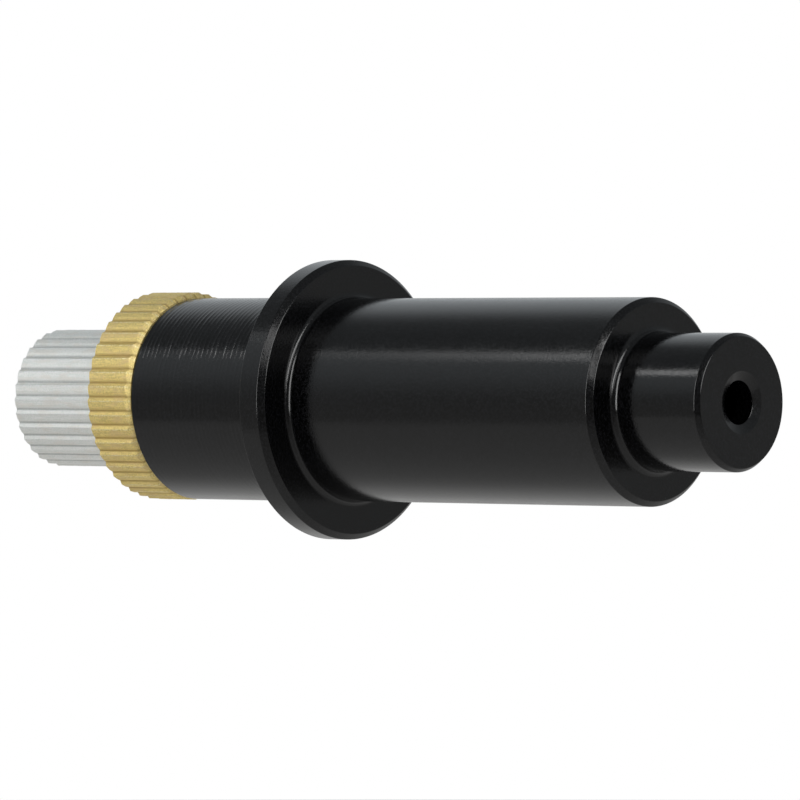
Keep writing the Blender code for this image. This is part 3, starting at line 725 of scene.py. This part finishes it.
def cartridge_tube():
    thread = Thread(TUBE_LOW.x, TAIL_THREAD_FRONT, TAIL_RADIUS, TAIL_PITCH, TAIL_THREAD_DEPTH)
    outline = rounded([
        (TUBE_HIGH.x, TUBE_BORE_RADIUS, EDGE_ROUNDING),
        (TUBE_HIGH.x, TUBE_RADIUS, EDGE_ROUNDING),
        *o_ring_groove(PIVOT, PIVOT_GROOVE_HALF_WIDTH, PIVOT_GROOVE_RADIUS, TUBE_RADIUS),
        (TUBE_STEP, TUBE_RADIUS, EDGE_ROUNDING),
        (TUBE_STEP, TAIL_RADIUS, EDGE_ROUNDING),
        *o_ring_groove(SEAL, SEAL_GROOVE_HALF_WIDTH, SEAL_GROOVE_RADIUS, TAIL_RADIUS),
        (TAIL_THREAD_FRONT, TAIL_RADIUS, 0),
        *thread.corners(),
        (TUBE_LOW.x, TAIL_RADIUS, EDGE_ROUNDING),
        (TUBE_LOW.x, BATTERY_BORE_RADIUS, EDGE_ROUNDING),
        (BATTERY_STEP, BATTERY_BORE_RADIUS, EDGE_ROUNDING),
        (BATTERY_STEP, TUBE_BORE_RADIUS, EDGE_ROUNDING),
    ])
    piece(turned(outline, thread), "threaded_tube", "cartridge_brass", "cartridge", "cartridge_tube")


# Studio


def camera_frame():
    """The camera's level directions: to its right, and from the object towards it."""
    right = Vector((math.cos(CAMERA_AZIMUTH), math.sin(CAMERA_AZIMUTH), 0.0))
    towards = Vector((math.sin(CAMERA_AZIMUTH), -math.cos(CAMERA_AZIMUTH), 0.0))
    return right, towards


def bearing(azimuth, elevation):
    """A direction from the object: degrees to the camera's right, and degrees up."""
    right, towards = camera_frame()
    azimuth = math.radians(azimuth)
    elevation = math.radians(elevation)
    level = right * math.sin(azimuth) + towards * math.cos(azimuth)
    return level * math.cos(elevation) + Vector((0, 0, math.sin(elevation)))


def camera():
    _, towards = camera_frame()
    direction = towards * math.cos(CAMERA_ELEVATION) + Vector((0, 0, math.sin(CAMERA_ELEVATION)))
    data = bpy.data.cameras.new("camera")
    data.lens = CAMERA_LENS
    data.clip_end = CAMERA_CLIP_END
    made = bpy.data.objects.new("camera", data)
    made.location = (CAMERA_TARGET + direction * CAMERA_DISTANCE) * MM
    made.rotation_euler = direction.to_track_quat("Z", "Y").to_euler()
    bpy.context.scene.collection.objects.link(made)
    bpy.context.scene.camera = made


def softbox(name, aim, azimuth, elevation, width, height, radiance, along=None):
    """A flat light that faces a point, on a bearing from it. Along is the way its width runs."""
    direction = bearing(azimuth, elevation)
    along = along or direction.cross(Vector((0, 0, 1)))
    across = direction.cross(along).normalized()
    data = bpy.data.lights.new(name, "AREA")
    data.shape = "RECTANGLE"
    data.size = width * MM
    data.size_y = height * MM
    data.energy = radiance * math.pi * data.size * data.size_y
    made = bpy.data.objects.new(name, data)
    turn = Matrix((across.cross(direction), across, direction)).transposed()
    made.matrix_world = Matrix.Translation((aim + direction * LIGHT_DISTANCE) * MM) @ turn.to_4x4()
    made.visible_camera = False
    bpy.context.scene.collection.objects.link(made)


def surroundings():
    """A grey tent for the object to reflect: a dim front and roof, and a lighter back, left side and table.

    A ramp's first two numbers are shares of the way towards a direction, and high is a change in brightness.
    """
    world = bpy.data.worlds.new("tent")
    world.use_nodes = True
    bpy.context.scene.world = world
    graph = Graph(world.node_tree)
    direction = graph.node("ShaderNodeTexCoord").outputs["Generated"]

    def share_along(way):
        product = graph.node("ShaderNodeVectorMath", {0: direction, 1: way}, operation="DOT_PRODUCT")
        return product.outputs["Value"]

    to_right, towards = camera_frame()
    near = share_along(towards)
    right = share_along(to_right)
    up = graph.node("ShaderNodeSeparateXYZ", {"Vector": direction}).outputs["Z"]
    behind = graph.product(graph.ramp(near, -0.5, -0.8), graph.ramp(right, 0.3, 0.1))
    left = graph.product(graph.ramp(right, -0.6, -0.85), graph.ramp(up, 0.66, 0.56))
    grey_level = 0.3
    table = graph.ramp(up, -0.29, -0.34, high=0.17)
    low_back = graph.product(behind, graph.ramp(up, 0.1, -0.3, high=0.2))
    high_back = graph.product(behind, graph.ramp(up, -0.3, 0.1, high=0.4))
    left_side = graph.product(left, graph.ramp(up, 0.0, 0.5, high=0.3))
    front = graph.ramp(near, 0.5, 0.9, high=-0.18)
    roof = graph.product(graph.ramp(up, 0.58, 0.68), graph.ramp(near, -0.8, -0.5, high=-0.1))
    light = graph.total(grey_level, table, low_back, high_back, left_side, front, roof)
    tinted = graph.mix(graph.ramp(up, -0.2, 0.4), rgb(1.0, 1.0, 0.99), rgb(0.93, 0.99, 1.03))
    scaled = graph.node("ShaderNodeVectorMath", {0: tinted, "Scale": light}, operation="SCALE").outputs[0]
    seen = graph.node("ShaderNodeLightPath").outputs["Is Camera Ray"]
    shown = graph.mix(seen, scaled, grey(1.0))
    graph.feed(world.node_tree.nodes["Background"].inputs["Color"], shown)


def floor():
    """A plain pale floor, well below the object."""
    bm = bmesh.new()
    bmesh.ops.create_circle(bm, cap_ends=True, segments=FLOOR_SEGMENTS, radius=FLOOR_RADIUS * MM)
    bmesh.ops.translate(bm, verts=bm.verts, vec=(0, 0, FLOOR_HEIGHT * MM))
    mesh = bpy.data.meshes.new("floor")
    bm.to_mesh(mesh)
    bm.free()
    look, graph, shader, place = new_material(Roughness=FLOOR_ROUGHNESS)
    distance = graph.node("ShaderNodeVectorMath", {0: place}, operation="LENGTH").outputs["Value"]
    edge = graph.ramp(distance, *FLOOR_FADE)
    graph.feed(shader.inputs["Base Color"], graph.mix(edge, grey(FLOOR_GREY), grey(FLOOR_EDGE_GREY)))
    graph.feed(shader.inputs["Emission Color"], grey(1.0))
    glow = graph.ramp(distance, *FLOOR_FADE, FLOOR_GLOW, FLOOR_EDGE_GLOW)
    graph.feed(shader.inputs["Emission Strength"], glow)
    mesh.materials.append(look)
    made = bpy.data.objects.new("floor", mesh)
    made.visible_glossy = False
    bpy.context.scene.collection.objects.link(made)


def softboxes():
    """A large one on each side of the camera, a tall one above it, and two strips far to its left."""
    softbox("left_softbox", BODY_MIDDLE, azimuth=-39, elevation=16, width=320, height=1000, radiance=5.5)
    softbox("right_softbox", BODY_MIDDLE, azimuth=39.5, elevation=27, width=330, height=670, radiance=6.0)
    softbox("key_light", BODY_MIDDLE, azimuth=14, elevation=31, width=130, height=480, radiance=2.6)
    along_barrel = Vector((1, 0, 0))
    softbox("left_strip", BARREL_FRONT, -94.0, 38.4, width=98, height=50, radiance=2.3, along=along_barrel)
    softbox("upright_strip", BODY_MIDDLE, -86.6, 42.0, width=50, height=225, radiance=5.4)


def studio():
    bpy.context.scene.view_settings.view_transform = "Standard"
    bpy.context.scene.cycles.use_denoising = True
    surroundings()
    floor()
    softboxes()


# Without a seed of its own, the noise of the pits would differ from run to run
noise.seed_set(KNURL_PIT_SEED)

dress_inner_pieces()
main_body()
lock_ring()
tail_cap()
cartridge_tube()
camera()
studio()
